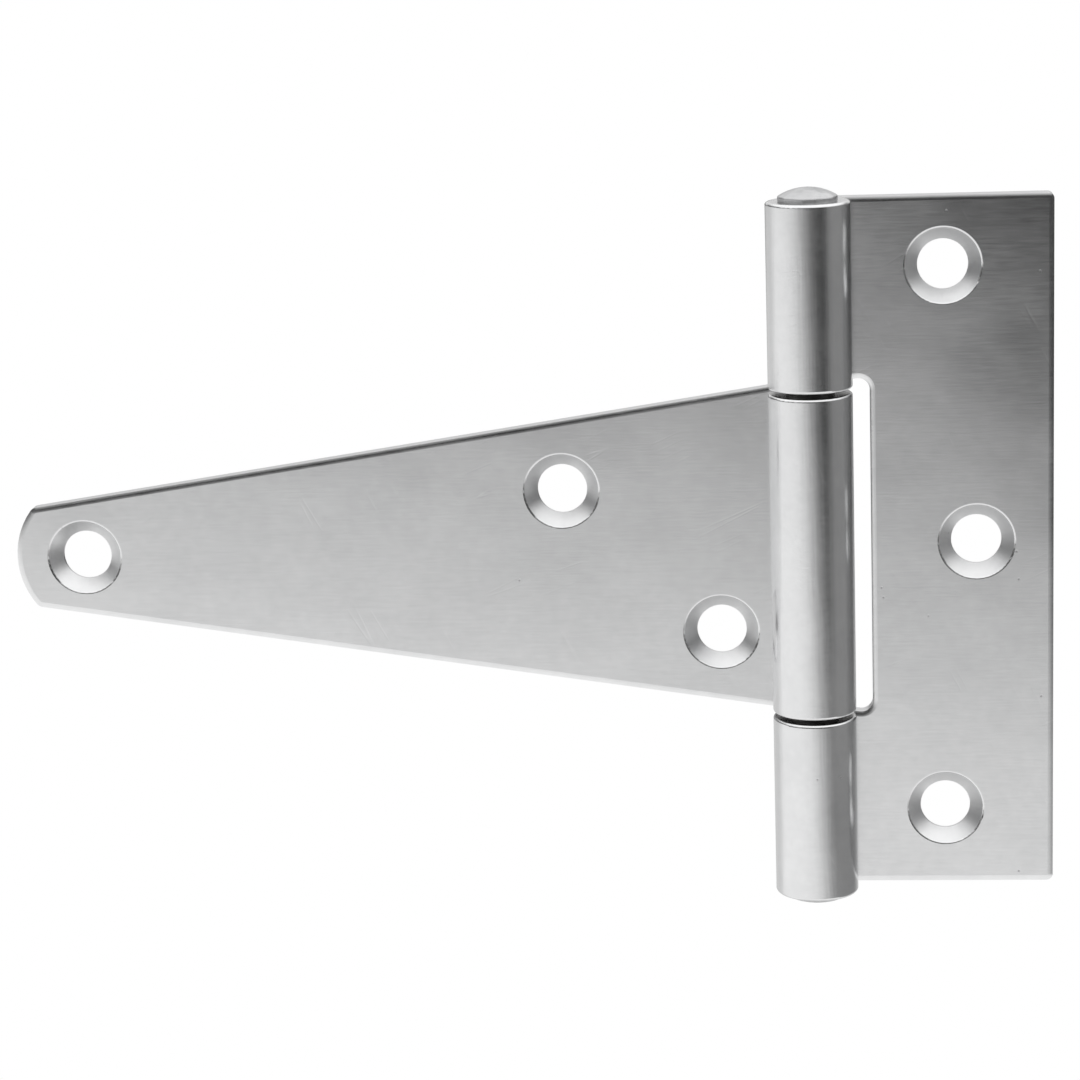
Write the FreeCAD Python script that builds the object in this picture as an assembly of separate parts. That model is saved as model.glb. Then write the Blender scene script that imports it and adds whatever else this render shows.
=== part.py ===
import FreeCAD, Part

import math
import os

from FreeCAD import Vector

# A light tee hinge of plated sheet steel: a rectangular leaf for the post, a tapered
# strap for the gate, and a fixed pin through their rolled knuckles. Millimetres.
#
# The shapes are drawn in the pin's frame, with Z along the pin and Z = 0 half way up
# the barrel, and the leaves behind the pin, at +Y. The finished pieces then move to the
# part's own origin: midway between the post leaf's two outer screw holes, on the plane
# of the leaf backs. There Y = 0 is the face of the post and of the gate, the barrel
# stands forward of it towards -Y, and the strap runs towards -X.

# Sheet and pin
SHEET = 1.6
PIN_RADIUS = 2.25
PIN_CLEARANCE = 0.05
BORE_RADIUS = PIN_RADIUS + PIN_CLEARANCE
BARREL_RADIUS = BORE_RADIUS + SHEET

# Barrel, from the post leaf's upper knuckle down to its lower one
BARREL_HEIGHT = 65.8
STRAP_KNUCKLE_HEIGHT = 30.4
KNUCKLE_GAP = 0.4
CURL_GAP = 0.15

# Both leaves run straight out from above the pin for this far before their edges slope
ROOT_STRAIGHT = 1.2

# Post leaf, with a cut-out that clears the strap's knuckle
# and widens from the knuckles towards its far side
POST_REACH = 22.4
CUTOUT_REACH = 5.5
CUTOUT_NEAR_HALF_HEIGHT = STRAP_KNUCKLE_HEIGHT / 2 + KNUCKLE_GAP
CUTOUT_FAR_HALF_HEIGHT = 16.2
CUTOUT_CORNER = 1.1
POST_CORNER = 0.6

# Strap, from the pin to the middle of its bowed tip; at the barrel it is a little
# wider than its knuckle
STRAP_REACH = 76.2
ROOT_HALF_WIDTH = 15.4
TIP_HALF_WIDTH = 4.85
TIP_RADIUS = 7.5
TIP_CORNER = 0.8

# Screw holes, as (distance from the pin, height), countersunk at 90 degrees
PATTERN_RAISE = 0.4
OUTER_HOLE_REACH = 12.3
OUTER_HOLE_SPACING = 52.0
MIDDLE_HOLE_REACH = 15.3
POST_HOLES = [
    (OUTER_HOLE_REACH, PATTERN_RAISE + OUTER_HOLE_SPACING / 2),
    (MIDDLE_HOLE_REACH, PATTERN_RAISE),
    (OUTER_HOLE_REACH, PATTERN_RAISE - OUTER_HOLE_SPACING / 2),
]
STRAP_HOLES = [(-69.6, 0.0), (-23.5, 5.8), (-8.7, -8.05)]
HOLE_RADIUS = 2.35
HOLE_LAND = 0.4
MOUTH_RADIUS = HOLE_RADIUS + SHEET - HOLE_LAND
MOUTH_ROUND = 0.25

# Edges: shearing rolls the front of the sheet over in a shallow arc that is tangent to
# its face, and leaves the back only just broken
ROLL_WIDTH = 0.5
ROLL_DEPTH = 0.09
ROLL_RADIUS = (ROLL_WIDTH**2 + ROLL_DEPTH**2) / (2 * ROLL_DEPTH)
ROLL_GROWTH = ROLL_RADIUS - ROLL_WIDTH
BACK_ROUND = 0.2
RIM_ROUND = 0.3

# Peened ends of the pin: a short rim under a low crown
HEAD_RADIUS = 2.75
UPPER_HEAD_RIM = 0.45
UPPER_HEAD_CROWN = 0.8
LOWER_HEAD_RIM = 0.45
LOWER_HEAD_CROWN = 0.3
HEAD_ROUND = 0.2

LEAF_FRONT = BORE_RADIUS
LEAF_BACK = BARREL_RADIUS
TO_ORIGIN = Vector(-OUTER_HOLE_REACH, -LEAF_BACK, -PATTERN_RAISE)
CUTTER_OVERRUN = 1.0
NEAR = 1e-4
SHARP_JOIN = 2


def point(x, z):
    """A point of a leaf's outline, on the plane of the leaf fronts."""
    return Vector(x, LEAF_FRONT, z)


def line(start, end):
    return Part.LineSegment(start, end).toShape()


def arc(start, middle, end):
    return Part.Arc(start, middle, end).toShape()


def blank(edges):
    """The flat part of a leaf: its outline carried back through the sheet."""
    return Part.Face(Part.Wire(edges)).extrude(Vector(0, SHEET, 0))


def runs_along_y(edge):
    low, high = edge.Vertexes[0].Point, edge.Vertexes[-1].Point
    return abs(low.x - high.x) < NEAR and abs(low.z - high.z) < NEAR


def round_corners(solid, radius, x):
    """Round the outline's corners that stand at the given distance from the pin."""
    corners = [
        edge
        for edge in solid.Edges
        if runs_along_y(edge) and abs(edge.Vertexes[0].X - x) < NEAR
    ]
    return solid.makeFillet(radius, corners)


def outline_edges(solid, y, root_x):
    """The edges of one face of the sheet, without those at the root of the knuckles."""
    return [
        edge
        for edge in solid.Edges
        if all(abs(end_point.Y - y) < NEAR for end_point in edge.Vertexes)
        and not all(abs(end_point.X - root_x) < NEAR for end_point in edge.Vertexes)
    ]


def roll_front(leaf, outline, side):
    """Roll the leaf's front over along the outline, given as a blank. The leaf takes its
    front from a plate that outgrows the outline and is fully rounded, so that only the
    shallow start of the rounding is left."""
    front = next(face for face in outline.Faces if face.BoundBox.YMax < LEAF_FRONT + NEAR)
    grown = front.OuterWire.makeOffset2D(ROLL_GROWTH, SHARP_JOIN)
    plate = Part.Face(grown).extrude(Vector(0, ROLL_RADIUS + SHEET, 0))
    rounded = outline_edges(plate, LEAF_FRONT, -side * ROLL_GROWTH)
    return leaf.common(plate.makeFillet(ROLL_RADIUS, rounded))


def knuckle(low, high, side):
    """Sheet rolled round the pin, from the back of the barrel to just short of the
    leaf's front. The leaf lies on the given side of the pin: 1 for +X, -1 for -X."""

    def polar(radius, angle):
        return Vector(side * radius * math.cos(angle), radius * math.sin(angle), low)

    start = math.pi / 2
    end = 2 * math.pi + math.asin((LEAF_FRONT - CURL_GAP) / BARREL_RADIUS)
    middle = (start + end) / 2
    outside = [polar(BARREL_RADIUS, angle) for angle in (start, middle, end)]
    inside = [polar(BORE_RADIUS, angle) for angle in (end, middle, start)]
    edges = [
        arc(*outside),
        line(outside[-1], inside[0]),
        arc(*inside),
        line(inside[-1], outside[0]),
    ]
    curl = Part.Face(Part.Wire(edges)).extrude(Vector(0, 0, high - low))
    tip_x, tip_y = outside[-1].x, outside[-1].y
    broken = [
        edge
        for edge in curl.Edges
        if is_outer_rim(edge)
        or all(
            abs(end_point.X - tip_x) < NEAR and abs(end_point.Y - tip_y) < NEAR
            for end_point in edge.Vertexes
        )
    ]
    return curl.makeFillet(RIM_ROUND, broken)


def is_outer_rim(edge):
    curve = edge.Curve
    return isinstance(curve, Part.Circle) and abs(curve.Radius - BARREL_RADIUS) < NEAR


def screw_hole(x, z):
    """Cutter for one hole: a short straight land at the back, then the countersink."""
    land_end = Vector(x, LEAF_BACK - HOLE_LAND, z)
    land = Part.makeCylinder(
        HOLE_RADIUS, HOLE_LAND + CUTTER_OVERRUN, land_end, Vector(0, 1, 0)
    )
    sink_depth = SHEET - HOLE_LAND
    sink = Part.makeCone(
        HOLE_RADIUS, MOUTH_RADIUS, sink_depth, land_end, Vector(0, -1, 0)
    )
    return land.fuse(sink)


def is_sink_mouth(edge):
    curve = edge.Curve
    return isinstance(curve, Part.Circle) and abs(curve.Radius - MOUTH_RADIUS) < NEAR


def drill(leaf, holes):
    """Cut the countersunk holes and round each mouth, as a punch leaves it."""
    for x, z in holes:
        leaf = leaf.cut(screw_hole(x, z))
    mouths = [edge for edge in leaf.Edges if is_sink_mouth(edge)]
    return leaf.makeFillet(MOUTH_ROUND, mouths)


def finish_flat(leaf, outline, holes, side):
    """Work a blank into a leaf without its knuckles, on the given side of the pin."""
    leaf = roll_front(leaf, outline, side)
    leaf = leaf.makeFillet(BACK_ROUND, outline_edges(leaf, LEAF_BACK, 0))
    return drill(leaf, holes)


def post_leaf():
    """Rectangular leaf with the upper and lower knuckles and the cut-out between."""
    top = BARREL_HEIGHT / 2
    near = CUTOUT_NEAR_HALF_HEIGHT
    far = CUTOUT_FAR_HALF_HEIGHT
    corners = [
        point(0, near),
        point(0, top),
        point(POST_REACH, top),
        point(POST_REACH, -top),
        point(0, -top),
        point(0, -near),
        point(ROOT_STRAIGHT, -near),
        point(CUTOUT_REACH, -far),
        point(CUTOUT_REACH, far),
        point(ROOT_STRAIGHT, near),
    ]
    edges = [line(a, b) for a, b in zip(corners, corners[1:] + corners[:1])]
    leaf = round_corners(blank(edges), POST_CORNER, POST_REACH)
    leaf = round_corners(leaf, CUTOUT_CORNER, CUTOUT_REACH)
    leaf = finish_flat(leaf, leaf, POST_HOLES, 1)
    for low, high in ((near, top), (-top, -near)):
        leaf = leaf.fuse(knuckle(low, high, 1))
    return leaf.removeSplitter()


def strap_edges(root):
    """The strap's outline: the root's corners, from the bottom up, and the bowed tip."""
    tip_sagitta = TIP_RADIUS - math.sqrt(TIP_RADIUS**2 - TIP_HALF_WIDTH**2)
    tip_up = point(tip_sagitta - STRAP_REACH, TIP_HALF_WIDTH)
    tip_down = point(tip_sagitta - STRAP_REACH, -TIP_HALF_WIDTH)
    corners = [tip_down] + root + [tip_up]
    edges = [line(a, b) for a, b in zip(corners, corners[1:])]
    return edges + [arc(tip_up, point(-STRAP_REACH, 0), tip_down)]


def strap_leaf():
    """Tapered strap with a bowed tip and the middle knuckle."""
    knuckle_top = STRAP_KNUCKLE_HEIGHT / 2
    edges = strap_edges(
        [
            point(-BARREL_RADIUS, -ROOT_HALF_WIDTH),
            point(-ROOT_STRAIGHT, -knuckle_top),
            point(0, -knuckle_top),
            point(0, knuckle_top),
            point(-ROOT_STRAIGHT, knuckle_top),
            point(-BARREL_RADIUS, ROOT_HALF_WIDTH),
        ]
    )
    tip_corner = edges[-1].Vertexes[0].Point
    taper = (ROOT_HALF_WIDTH - tip_corner.z) / (-BARREL_RADIUS - tip_corner.x)
    pin_half_width = ROOT_HALF_WIDTH + taper * BARREL_RADIUS
    tapered_edges = strap_edges([point(0, -pin_half_width), point(0, pin_half_width)])

    leaf = round_corners(blank(edges), TIP_CORNER, tip_corner.x)
    tapered = round_corners(blank(tapered_edges), TIP_CORNER, tip_corner.x)
    leaf = finish_flat(leaf, tapered, STRAP_HOLES, -1)
    leaf = leaf.fuse(knuckle(-knuckle_top, knuckle_top, -1))
    return leaf.removeSplitter()


def peened_head(rim, crown):
    """Head upset on the end of the pin, standing up from Z = 0."""
    height = rim + crown
    ball_radius = (HEAD_RADIUS**2 + crown**2) / (2 * crown)
    ball = Part.makeSphere(ball_radius, Vector(0, 0, height - ball_radius))
    head = Part.makeCylinder(HEAD_RADIUS, height).common(ball)
    shoulder = [
        edge
        for edge in head.Edges
        if all(abs(end_point.Z - rim) < NEAR for end_point in edge.Vertexes)
    ]
    return head.makeFillet(HEAD_ROUND, shoulder)


def hinge_pin():
    """Straight shank through the three knuckles, peened over at both ends."""
    shank_end = Vector(0, 0, BARREL_HEIGHT / 2)
    shank = Part.makeCylinder(PIN_RADIUS, BARREL_HEIGHT, -shank_end)
    upper = peened_head(UPPER_HEAD_RIM, UPPER_HEAD_CROWN)
    upper.translate(shank_end)
    lower = peened_head(LOWER_HEAD_RIM, LOWER_HEAD_CROWN)
    lower.rotate(Vector(0, 0, 0), Vector(1, 0, 0), 180)
    lower.translate(-shank_end)
    return shank.fuse([upper, lower]).removeSplitter()


def write(name, shape):
    """Move a piece to the part's origin and write its STEP file."""
    shape.translate(TO_ORIGIN)
    if len(shape.Solids) != 1 or not shape.isValid():
        raise ValueError(name + " is not one valid solid")
    shape.Solids[0].exportStep("parts/" + name + ".step")
    box = shape.BoundBox
    print(name, round(shape.Volume, 1), "mm3, X", round(box.XMin, 2), round(box.XMax, 2))


os.makedirs("parts", exist_ok=True)
write("post_leaf", post_leaf())
write("strap_leaf", strap_leaf())
write("hinge_pin", hinge_pin())
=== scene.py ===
import math

import bpy
from mathutils import Matrix, Vector


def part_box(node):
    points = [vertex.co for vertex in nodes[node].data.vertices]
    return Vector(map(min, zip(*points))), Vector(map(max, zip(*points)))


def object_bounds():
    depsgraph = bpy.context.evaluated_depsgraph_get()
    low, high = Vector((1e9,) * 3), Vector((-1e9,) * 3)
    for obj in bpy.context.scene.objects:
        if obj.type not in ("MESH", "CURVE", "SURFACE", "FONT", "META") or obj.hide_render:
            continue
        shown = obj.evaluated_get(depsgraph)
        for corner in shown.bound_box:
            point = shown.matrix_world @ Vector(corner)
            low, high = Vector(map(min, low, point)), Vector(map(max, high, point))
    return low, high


# Looks of the tee hinge: bright zinc plate on sheared, rolled sheet steel, in a plain
# pale studio. Metres, in the row frame: Z along the pin, Y = 0 on the post's face.

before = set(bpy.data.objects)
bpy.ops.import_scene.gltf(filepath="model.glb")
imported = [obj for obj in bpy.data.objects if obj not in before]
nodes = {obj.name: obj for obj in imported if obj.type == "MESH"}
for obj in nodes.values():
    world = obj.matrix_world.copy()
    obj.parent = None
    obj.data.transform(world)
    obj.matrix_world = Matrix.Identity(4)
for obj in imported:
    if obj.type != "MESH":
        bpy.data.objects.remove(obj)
cad_low, cad_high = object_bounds()

# The pin axis and the size of the barrel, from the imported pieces
pin_low, pin_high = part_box("hinge_pin")
post_low, post_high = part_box("post_leaf")
PIN_X = (pin_low.x + pin_high.x) / 2
PIN_Y = (pin_low.y + pin_high.y) / 2
BARREL_RADIUS = PIN_Y - post_low.y
BARREL_MIDDLE = (post_low.z + post_high.z) / 2
BARREL_HALF_HEIGHT = (post_high.z - post_low.z) / 2

# Camera: it stands a little to the right of the pin and above it, slightly rolled
AIM_LEFT_OF_PIN = 0.02546
AIM_HEIGHT = 0.00121
CAMERA_AIM = Vector((PIN_X - AIM_LEFT_OF_PIN, PIN_Y, AIM_HEIGHT))
CAMERA_DISTANCE = 0.2921
CAMERA_YAW = math.radians(-5.443)
CAMERA_ELEVATION = math.radians(12.674)
CAMERA_ROLL = math.radians(1.967)
CAMERA_LENS = 103.75
NEAREST_SEEN = 0.01
FARTHEST_SEEN = 100.0

# Studio: brightness of each side of the room, where 1 is white
WHITE = (1, 1, 1, 1)
FLOOR_DROP = 1.0
FLOOR_SIZE = 60.0
HORIZON_GLOW = 0.03
FLOOR_GLOW = 1.0
UNDERSIDE_GLOW = 0.68
SIDE_CARD_GLOW = 0.26
BACK_GLOW = 0.70
BACKDROP_GLOW = 0.80
SKY_GLOW = 1.24

# Where each side fades in and is full, by how far a direction of length 1 goes that way.
# The floor's fade leans: it starts lower on the right than on the left.
FLOOR_WAY = (-0.24, 0, -1)
FLOOR_FADE = (0.045, 0.37)
BACK_FADE = (0.1, 0.6)
UNDERSIDE_FADE = (-0.80, -0.95)
SIDE_CARD_FADE = (0.60, 0.95)
SKY_FADE = (0.16, 0.68)
BACKDROP_HEIGHT_FADE = (0.0, 0.16)
BACKDROP_DEPTH_FADE = (0.6, 0.9)

# Where each part of the plate fades in and is full: by how squarely the surface faces
# front or back, or up or down, from 0 to 1, or by parts of the barrel's radius or of
# its half height
ROLLED_FADE = (1.06, 1.02)
SHEARED_FADE = (0.35, 0.12)
COUNTERSUNK_FADE = (0.90, 0.80)
END_FACE_FADE = (0.8, 0.95)
SEAM_FADE = (0.9, 0.8)

# The post leaf isn't quite flat: its upper free corner leans back by this much in the
# shading, ever more from these distances on
CORNER_LEAN = 0.0006
LEAN_START_X = -0.008
LEAN_START_Z = -0.010
LEAN_POWER = 2.0

# Colours of the leaves, and how much of each mark's colour shows
PLATE_DARK = (0.745, 0.748, 0.752, 1)
PLATE_LIGHT = (0.81, 0.812, 0.815, 1)
SHEARED_GREY = (0.62, 0.62, 0.625, 1)
# The seam colour below is painted shade: it darkens the knuckles' end faces in the seams between
# them, where shade falls
SEAM_PAINTED_SHADE = (0.24, 0.235, 0.23, 1)
SPECK_GREY = (0.30, 0.30, 0.305, 1)
BRIGHT_METAL = (0.93, 0.93, 0.935, 1)
SHEARED_SHARE = 0.7
# The seam share sets how strongly that painted seam shade shows
SEAM_SHADE_SHARE = 0.8
SPECK_SHARE = 0.5
SCRATCH_SHARE = 0.12
WORN_SHARE = 0.45

# Roughness of the leaves, and what each mark adds
PLATE_ROUGHNESS = (0.19, 0.235)
GRAIN_ROUGHNESS = (-0.02, 0.02)
SHEARED_ROUGHNESS = 0.16
COUNTERSUNK_ROUGHNESS = 0.13
SPECK_ROUGHNESS = 0.20
WORN_ROUGHNESS = -0.06

# Patterns on the leaves. Size is how far across their blotches are, and stretch is how
# many times as far they run along each axis: grain along the sheet, streaks along the
# barrel, torn metal through the sheet's thickness.
CLOUD = {"size": 0.009, "detail": 3.0, "roughness": 0.55}
SPANGLE = {"size": 0.0012, "detail": 2.0, "roughness": 0.6}
GRAIN = {"size": 0.00016, "detail": 2.0, "roughness": 0.6, "stretch": (14, 1, 1)}
STREAKS = {"size": 0.0004, "detail": 2.0, "roughness": 0.55, "stretch": (1, 1, 18)}
TORN = {"size": 0.00014, "detail": 2.0, "roughness": 0.7, "stretch": (1, 8, 1)}
WAVES = {"size": 0.012, "detail": 1.0, "roughness": 0.4}

# How high the patterns stand in the shading, and how much of the spangle is in the colour
SPANGLE_HEIGHT = 0.0000013
GRAIN_HEIGHT = 0.0000013
STREAK_HEIGHT = 0.000012
TORN_HEIGHT = 0.00002
WAVE_HEIGHT = 0.00007
SPANGLE_TONE = 0.5

# Noise lies about its middle, most of it within a span, and so do the clouds with the
# spangle added
NOISE_MIDDLE = 0.5
NOISE_SPAN = (0.3, 0.7)
TONE_SPAN = (0.55, 0.95)

# Scratches in two directions, in patches. They run many times as far as they are apart
# before they wander, and their width is a part of the noise that they lie in.
SCRATCH_LINES = {"detail": 0.0, "roughness": 0.5, "stretch": (30, 1, 1)}
SCRATCH_PATCHES = {"size": 0.005, "detail": 1.0, "roughness": 0.5}
SCRATCH_PATCH_FADE = (0.56, 0.70)
SCRATCH_WIDTH = 0.010
SCRATCH_DEPTH = 0.0000015
SCRATCH_SETS = (
    {"degrees": 24, "spacing": 0.0015, "shift": (0.3, 0.1, 0.7)},
    {"degrees": -63, "spacing": 0.0019, "shift": (0.9, 0.4, 0.2)},
)

# Specks: small round pits, in few of the cells of a random pattern
SPECK_SPACING = 0.0021
SPECK_RADIUS = 0.00016
SPECK_DEPTH = 0.000006
SPECK_SHIFT = (0.5, 0.2, 0.8)
SPECK_KEPT_FADE = (0.82, 0.86)

# Worn edges: how far round a corner the wear reaches, and how much the rounded normal
# has to leave the true one
LEAF_WEAR = 0.00025
PIN_WEAR = 0.0003
WEAR_SAMPLES = 6
WEAR_FADE = (0.995, 0.90)

# How far each leaf's pattern is moved, so that they differ
POST_LEAF_SHIFT = (0.31, 0.17, 0.53)
STRAP_LEAF_SHIFT = (0.72, 0.41, 0.26)

# Pin: duller plate, with the facets that a peening hammer leaves on its ends
PIN_DARK = (0.46, 0.462, 0.468, 1)
PIN_LIGHT = (0.62, 0.622, 0.626, 1)
PIN_BRIGHT = (0.9, 0.9, 0.905, 1)
# The darkest pin colour is painted shade, for where the pin shows in the seams between the
# knuckles
PIN_PAINTED_SHADE = (0.16, 0.155, 0.15, 1)
PIN_WORN_SHARE = 0.4
PIN_SHADE_SHARE = 0.85
PIN_ROUGHNESS = (0.34, 0.46)
PIN_CLOUD = {"size": 0.002, "detail": 3.0, "roughness": 0.6}
TURNED = {"size": 0.00012, "detail": 2.0, "roughness": 0.6, "stretch": (1, 1, 0.6)}
TURNED_HEIGHT = 0.000006
BLOW_SPACING = 0.0009
BLOW_SMOOTHNESS = 0.35
BLOW_HEIGHT = 0.00009


def add_node(tree, kind, inputs=None, **settings):
    """A new node with its properties set and its inputs filled in or linked."""
    node = tree.nodes.new(kind)
    for name, value in settings.items():
        setattr(node, name, value)
    for key, value in (inputs or {}).items():
        if isinstance(value, bpy.types.NodeSocket):
            tree.links.new(value, node.inputs[key])
        else:
            node.inputs[key].default_value = value
    return node


def math_node(tree, operation, first, second=0.0):
    values = {0: first, 1: second}
    return add_node(tree, "ShaderNodeMath", values, operation=operation).outputs[0]


def product(tree, first, second):
    return math_node(tree, "MULTIPLY", first, second)


def magnitude(tree, value):
    """value without its sign."""
    return math_node(tree, "ABSOLUTE", value)


def all_but(tree, mask):
    """1 where the mask is 0, and 0 where it is 1."""
    return math_node(tree, "SUBTRACT", 1.0, mask)


def vector_math(tree, operation, first, second):
    values = {0: first, 1: second}
    return add_node(tree, "ShaderNodeVectorMath", values, operation=operation)


def parts_of(tree, vector):
    """The x, y and z of a vector."""
    return add_node(tree, "ShaderNodeSeparateXYZ", {0: vector}).outputs


def remap(tree, value, low, high, out_low=0.0, out_high=1.0, kind="SMOOTHSTEP"):
    """value carried from low..high to out_low..out_high, and held at the ends."""
    ranges = {
        "Value": value,
        "From Min": low,
        "From Max": high,
        "To Min": out_low,
        "To Max": out_high,
    }
    node = add_node(tree, "ShaderNodeMapRange", ranges, interpolation_type=kind)
    return node.outputs["Result"]


def spread(tree, value, span, out=(0.0, 1.0)):
    """value carried evenly from the first pair to the second, and held at the ends."""
    return remap(tree, value, *span, *out, kind="LINEAR")


def noise(tree, coordinates, size, detail, roughness, stretch=(1, 1, 1), shift=(0, 0, 0)):
    """Noise whose blotches are about size metres across, longer along the stretched axes."""
    scale = [1 / (size * factor) for factor in stretch]
    placed = vector_math(tree, "ADD", coordinates, shift).outputs[0]
    scaled = vector_math(tree, "MULTIPLY", placed, scale).outputs[0]
    values = {"Vector": scaled, "Scale": 1.0, "Detail": detail, "Roughness": roughness}
    return add_node(tree, "ShaderNodeTexNoise", values).outputs["Fac"]


def rotated(tree, coordinates, degrees):
    """Coordinates turned about Y, the normal of the leaves."""
    values = {"Vector": coordinates, "Angle": math.radians(degrees)}
    return add_node(
        tree, "ShaderNodeVectorRotate", values, rotation_type="Y_AXIS"
    ).outputs[0]


def bump(tree, height, distance, normal=None):
    values = {"Height": height, "Distance": distance, "Strength": 1.0}
    if normal is not None:
        values["Normal"] = normal
    return add_node(tree, "ShaderNodeBump", values).outputs["Normal"]


def mix_colour(tree, share, first, second):
    """first where share is 0 and second where it is 1."""
    values = {"Factor": share, 6: first, 7: second}
    return add_node(tree, "ShaderNodeMix", values, data_type="RGBA").outputs[2]


def tint(tree, colour, mask, share, target):
    """colour drawn towards target where the mask is 1, by the share at most."""
    return mix_colour(tree, product(tree, mask, share), colour, target)


def blend(tree, share, first, second):
    """first where share is 0 and second where it is 1, for numbers."""
    values = {0: share, 2: first, 3: second}
    return add_node(tree, "ShaderNodeMix", values, data_type="FLOAT").outputs[0]


def scratches(tree, coordinates, degrees, spacing, shift):
    """A few long fine lines, in patches: they lie where a stretched noise crosses its middle."""
    turned = rotated(tree, coordinates, degrees)
    field = noise(tree, turned, spacing, shift=shift, **SCRATCH_LINES)
    off_middle = magnitude(tree, math_node(tree, "SUBTRACT", field, NOISE_MIDDLE))
    line = remap(tree, off_middle, 0.0, SCRATCH_WIDTH, 1.0, 0.0)
    patches = noise(tree, coordinates, shift=shift, **SCRATCH_PATCHES)
    return product(tree, line, remap(tree, patches, *SCRATCH_PATCH_FADE))


def specks(tree, coordinates):
    """Small round pits, one in some of the cells of a random pattern."""
    placed = vector_math(tree, "ADD", coordinates, SPECK_SHIFT).outputs[0]
    cells = add_node(
        tree,
        "ShaderNodeTexVoronoi",
        {"Vector": placed, "Scale": 1 / SPECK_SPACING},
        voronoi_dimensions="3D",
        feature="F1",
    )
    reach = SPECK_RADIUS / SPECK_SPACING
    inside = remap(tree, cells.outputs["Distance"], 0.0, reach, 1.0, 0.0)
    chosen = add_node(tree, "ShaderNodeSeparateColor", {"Color": cells.outputs["Color"]})
    return product(tree, inside, remap(tree, chosen.outputs[0], *SPECK_KEPT_FADE))


def edge_mask(tree, radius):
    """1 on sharp outer edges and rims, 0 on flats: where a rounded normal leaves the true one."""
    values = {"Radius": radius}
    rounded = add_node(tree, "ShaderNodeBevel", values, samples=WEAR_SAMPLES).outputs[0]
    true_normal = add_node(tree, "ShaderNodeNewGeometry").outputs["Normal"]
    alignment = vector_math(tree, "DOT_PRODUCT", rounded, true_normal).outputs["Value"]
    return remap(tree, alignment, *WEAR_FADE)


def leaning_corner(tree, coordinates):
    """Rises from 0 to 1, ever steeper, towards the upper free corner of the post leaf."""
    axes = parts_of(tree, coordinates)
    across = spread(tree, axes[0], (LEAN_START_X, post_high.x))
    up = spread(tree, axes[2], (LEAN_START_Z, post_high.z))
    return math_node(tree, "POWER", product(tree, across, up), LEAN_POWER)


def barrel_mask(tree, coordinates):
    """1 on the rolled knuckles and 0 on the flat leaf, by distance from the pin's axis."""
    offset = vector_math(tree, "SUBTRACT", coordinates, (PIN_X, PIN_Y, 0)).outputs[0]
    flat = vector_math(tree, "MULTIPLY", offset, (1, 1, 0)).outputs[0]
    distance = add_node(
        tree, "ShaderNodeVectorMath", {0: flat}, operation="LENGTH"
    ).outputs["Value"]
    start, full = ROLLED_FADE
    return remap(tree, distance, BARREL_RADIUS * start, BARREL_RADIUS * full)


def between_ends(tree, coordinates):
    """1 along the barrel and 0 at its two ends: where shade is painted into its seams, standing
    in for the shade between the knuckles.
    """
    height = parts_of(tree, coordinates)[2]
    from_middle = magnitude(tree, math_node(tree, "SUBTRACT", height, BARREL_MIDDLE))
    start, full = SEAM_FADE
    return remap(tree, from_middle, BARREL_HALF_HEIGHT * start, BARREL_HALF_HEIGHT * full)


def sheet_areas(tree, coordinates):
    """The rolled, sheared and countersunk parts of a leaf, and its seams where shade is painted,
    each a mask.
    """
    facing, axial = parts_of(tree, coordinates["Normal"])[1:3]
    rolled = barrel_mask(tree, coordinates["Object"])
    off_face = remap(tree, magnitude(tree, facing), *SHEARED_FADE)
    slanted = remap(tree, magnitude(tree, facing), *COUNTERSUNK_FADE)
    elsewhere = math_node(tree, "MAXIMUM", off_face, rolled)
    end_face = product(tree, remap(tree, magnitude(tree, axial), *END_FACE_FADE), rolled)
    return {
        "rolled": rolled,
        "sheared": product(tree, off_face, all_but(tree, rolled)),
        "countersunk": product(tree, slanted, all_but(tree, elsewhere)),
        "seam": product(tree, end_face, between_ends(tree, coordinates["Object"])),
    }


def sheet_patterns(tree, place):
    """The clouds, spangle, grain, streaks, torn metal, scratches and specks of a leaf."""
    first, second = [scratches(tree, place, **lines) for lines in SCRATCH_SETS]
    return {
        "cloud": noise(tree, place, **CLOUD),
        "spangle": noise(tree, place, **SPANGLE),
        "grain": noise(tree, place, **GRAIN),
        "streaks": noise(tree, place, **STREAKS),
        "torn": noise(tree, place, **TORN),
        "waves": noise(tree, place, **WAVES),
        "scratches": math_node(tree, "MAXIMUM", first, second),
        "specks": specks(tree, place),
        "worn": edge_mask(tree, LEAF_WEAR),
    }


def sheet_colour(tree, areas, patterns):
    mottling = product(tree, patterns["spangle"], SPANGLE_TONE)
    tone = math_node(tree, "ADD", patterns["cloud"], mottling)
    colour = mix_colour(tree, spread(tree, tone, TONE_SPAN), PLATE_DARK, PLATE_LIGHT)
    colour = tint(tree, colour, areas["sheared"], SHEARED_SHARE, SHEARED_GREY)
    # Painted shade on the knuckles' end faces, in the seams between the knuckles
    colour = tint(tree, colour, areas["seam"], SEAM_SHADE_SHARE, SEAM_PAINTED_SHADE)
    colour = tint(tree, colour, patterns["specks"], SPECK_SHARE, SPECK_GREY)
    colour = tint(tree, colour, patterns["scratches"], SCRATCH_SHARE, BRIGHT_METAL)
    return tint(tree, colour, patterns["worn"], WORN_SHARE, BRIGHT_METAL)


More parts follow.
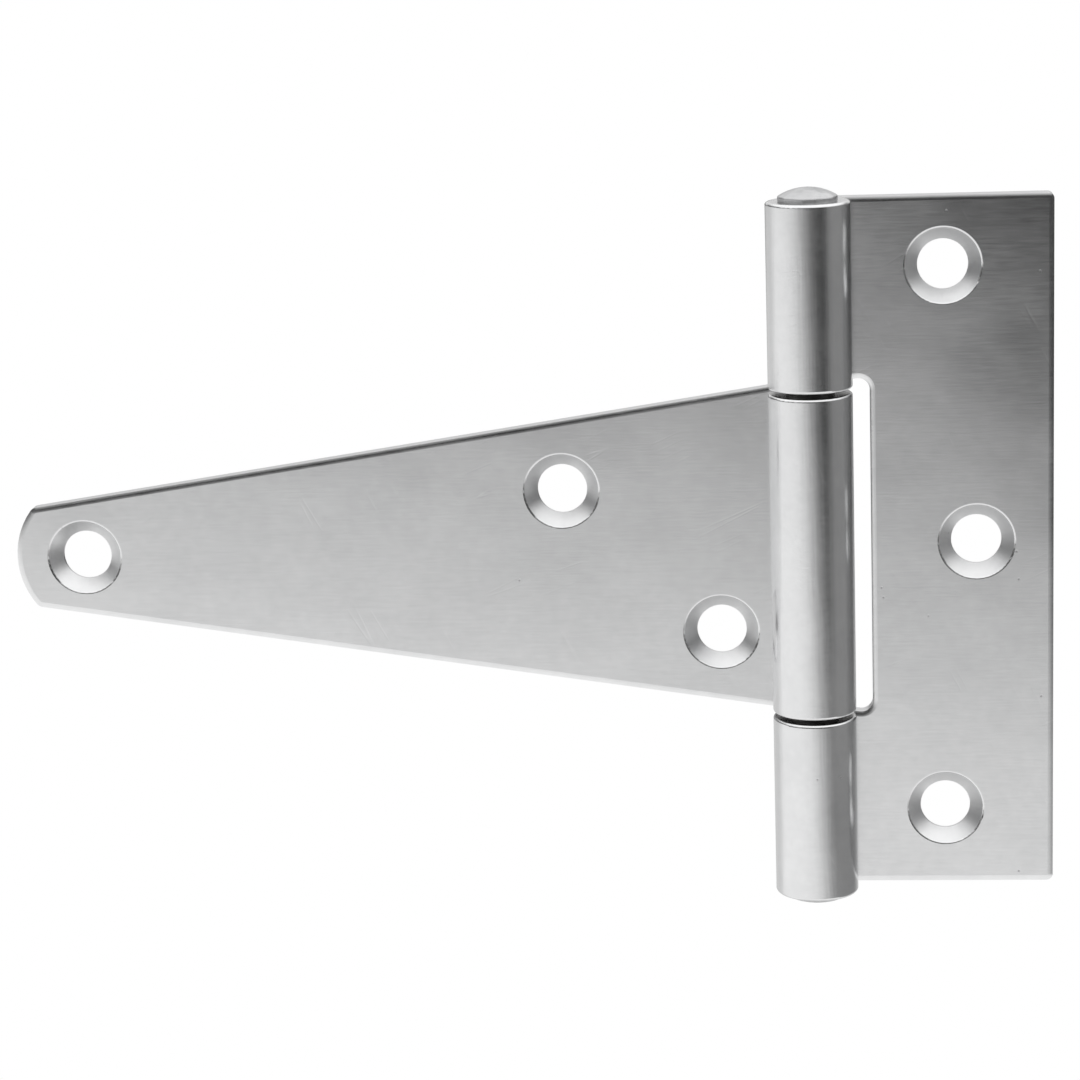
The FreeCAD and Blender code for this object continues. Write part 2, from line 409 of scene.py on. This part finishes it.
def sheet_roughness(tree, areas, patterns):
    rough = spread(tree, patterns["cloud"], NOISE_SPAN, PLATE_ROUGHNESS)
    grain = spread(tree, patterns["grain"], NOISE_SPAN, GRAIN_ROUGHNESS)
    rough = math_node(tree, "ADD", rough, grain)
    for mask, change in (
        (areas["sheared"], SHEARED_ROUGHNESS),
        (areas["countersunk"], COUNTERSUNK_ROUGHNESS),
        (patterns["specks"], SPECK_ROUGHNESS),
        (patterns["worn"], WORN_ROUGHNESS),
    ):
        rough = math_node(tree, "ADD", rough, product(tree, mask, change))
    return rough


def sheet_normal(tree, areas, patterns, coordinates):
    normal = None
    for height, distance in (
        (leaning_corner(tree, coordinates["Object"]), -CORNER_LEAN),
        (patterns["waves"], WAVE_HEIGHT),
        (patterns["spangle"], SPANGLE_HEIGHT),
        (patterns["grain"], GRAIN_HEIGHT),
        (product(tree, patterns["streaks"], areas["rolled"]), STREAK_HEIGHT),
        (product(tree, patterns["torn"], areas["sheared"]), TORN_HEIGHT),
        (patterns["specks"], -SPECK_DEPTH),
        (patterns["scratches"], -SCRATCH_DEPTH),
    ):
        normal = bump(tree, height, distance, normal)
    return normal


def new_material(name):
    material = bpy.data.materials.new(name)
    material.use_nodes = True
    material.node_tree.nodes.clear()
    return material


def finish_surface(tree, colour, roughness, normal):
    surface = add_node(
        tree,
        "ShaderNodeBsdfPrincipled",
        {
            "Base Color": colour,
            "Metallic": 1.0,
            "Roughness": roughness,
            "Normal": normal,
        },
    )
    add_node(tree, "ShaderNodeOutputMaterial", {"Surface": surface.outputs["BSDF"]})


def zinc_sheet(name, shift):
    """Bright zinc plate on rolled sheet. shift moves the pattern, so that pieces differ."""
    material = new_material(name)
    tree = material.node_tree
    coordinates = add_node(tree, "ShaderNodeTexCoord").outputs
    place = vector_math(tree, "ADD", coordinates["Object"], shift).outputs[0]
    areas = sheet_areas(tree, coordinates)
    patterns = sheet_patterns(tree, place)
    finish_surface(
        tree,
        sheet_colour(tree, areas, patterns),
        sheet_roughness(tree, areas, patterns),
        sheet_normal(tree, areas, patterns, coordinates),
    )
    return material


def hammer_blows(tree, coordinates):
    """Shallow round facets, as a peening hammer leaves them."""
    values = {
        "Vector": coordinates,
        "Scale": 1 / BLOW_SPACING,
        "Smoothness": BLOW_SMOOTHNESS,
    }
    cells = add_node(tree, "ShaderNodeTexVoronoi", values, feature="SMOOTH_F1")
    return cells.outputs["Distance"]


def zinc_pin(name):
    """The same plate on the pin, duller, with painted shade where it passes the seams."""
    material = new_material(name)
    tree = material.node_tree
    place = add_node(tree, "ShaderNodeTexCoord").outputs["Object"]
    cloud = noise(tree, place, **PIN_CLOUD)
    turned = noise(tree, place, **TURNED)
    colour = mix_colour(tree, spread(tree, cloud, NOISE_SPAN), PIN_DARK, PIN_LIGHT)
    colour = tint(tree, colour, edge_mask(tree, PIN_WEAR), PIN_WORN_SHARE, PIN_BRIGHT)
    # Painted shade on the pin along the barrel, where it shows in the seams
    colour = tint(tree, colour, between_ends(tree, place), PIN_SHADE_SHARE, PIN_PAINTED_SHADE)
    normal = bump(tree, hammer_blows(tree, place), BLOW_HEIGHT)
    normal = bump(tree, turned, TURNED_HEIGHT, normal)
    finish_surface(tree, colour, spread(tree, cloud, NOISE_SPAN, PIN_ROUGHNESS), normal)
    return material


def paint(node, material):
    for slot in nodes[node].material_slots:
        slot.material = material


def room_light(tree, direction):
    """How bright the room is in a direction: a floor that is bright in the middle distance
    and fades towards a dim horizon, a grey card to the right, a pale backdrop behind the
    object, and a soft box overhead."""
    axes = parts_of(tree, direction)
    downward = vector_math(tree, "DOT_PRODUCT", direction, FLOOR_WAY).outputs["Value"]
    floor = remap(tree, downward, *FLOOR_FADE, HORIZON_GLOW, FLOOR_GLOW)
    lit_behind = math_node(tree, "MINIMUM", floor, BACK_GLOW)
    floor = blend(tree, remap(tree, axes[1], *BACK_FADE), floor, lit_behind)
    floor = blend(tree, remap(tree, axes[2], *UNDERSIDE_FADE), floor, UNDERSIDE_GLOW)
    floor = blend(tree, remap(tree, axes[0], *SIDE_CARD_FADE), floor, SIDE_CARD_GLOW)
    sky = remap(tree, axes[2], *SKY_FADE, 0.0, SKY_GLOW)
    above_horizon = remap(tree, axes[2], *BACKDROP_HEIGHT_FADE, 0.0, BACKDROP_GLOW)
    backdrop = product(tree, above_horizon, remap(tree, axes[1], *BACKDROP_DEPTH_FADE))
    return math_node(tree, "ADD", floor, math_node(tree, "MAXIMUM", sky, backdrop))


def studio_world():
    """Soft light from the whole room, while the camera itself sees plain white."""
    world = bpy.data.worlds.new("studio")
    world.use_nodes = True
    tree = world.node_tree
    tree.nodes.clear()
    direction = add_node(tree, "ShaderNodeTexCoord").outputs["Generated"]
    light = room_light(tree, direction)
    around = add_node(tree, "ShaderNodeBackground", {"Color": WHITE, "Strength": light})
    backdrop = add_node(tree, "ShaderNodeBackground", {"Color": WHITE, "Strength": 1.0})
    seen = add_node(tree, "ShaderNodeLightPath").outputs["Is Camera Ray"]
    both = add_node(
        tree,
        "ShaderNodeMixShader",
        {0: seen, 1: around.outputs[0], 2: backdrop.outputs[0]},
    )
    add_node(tree, "ShaderNodeOutputWorld", {"Surface": both.outputs[0]})
    bpy.context.scene.world = world


def pale_floor():
    """A plain white sheet below the object. It lights nothing: the studio does that."""
    mesh = bpy.data.meshes.new("floor")
    half = FLOOR_SIZE / 2
    height = cad_low.z - FLOOR_DROP
    corners = [(-half, -half), (half, -half), (half, half), (-half, half)]
    mesh.from_pydata([(x, y, height) for x, y in corners], [], [(0, 1, 2, 3)])
    floor = bpy.data.objects.new("floor", mesh)
    bpy.context.scene.collection.objects.link(floor)
    material = new_material("floor_white")
    tree = material.node_tree
    glow = add_node(tree, "ShaderNodeEmission", {"Color": WHITE, "Strength": 1.0})
    add_node(tree, "ShaderNodeOutputMaterial", {"Surface": glow.outputs[0]})
    mesh.materials.append(material)
    floor.visible_diffuse = False
    floor.visible_glossy = False
    floor.visible_transmission = False
    floor.visible_shadow = False


def studio_camera():
    data = bpy.data.cameras.new("camera")
    data.lens = CAMERA_LENS
    data.clip_start = NEAREST_SEEN
    data.clip_end = FARTHEST_SEEN
    camera = bpy.data.objects.new("camera", data)
    bpy.context.scene.collection.objects.link(camera)
    turn = (
        Matrix.Rotation(-CAMERA_YAW, 4, "Z")
        @ Matrix.Rotation(math.pi / 2 - CAMERA_ELEVATION, 4, "X")
        @ Matrix.Rotation(-CAMERA_ROLL, 4, "Z")
    )
    backward = turn @ Vector((0, 0, 1))
    camera.matrix_world = (
        Matrix.Translation(CAMERA_AIM + backward * CAMERA_DISTANCE) @ turn
    )
    bpy.context.scene.camera = camera


studio_camera()
studio_world()
pale_floor()
bpy.context.scene.view_settings.view_transform = "Standard"

paint("post_leaf", zinc_sheet("zinc_post_leaf", POST_LEAF_SHIFT))
paint("strap_leaf", zinc_sheet("zinc_strap_leaf", STRAP_LEAF_SHIFT))
paint("hinge_pin", zinc_pin("zinc_pin"))
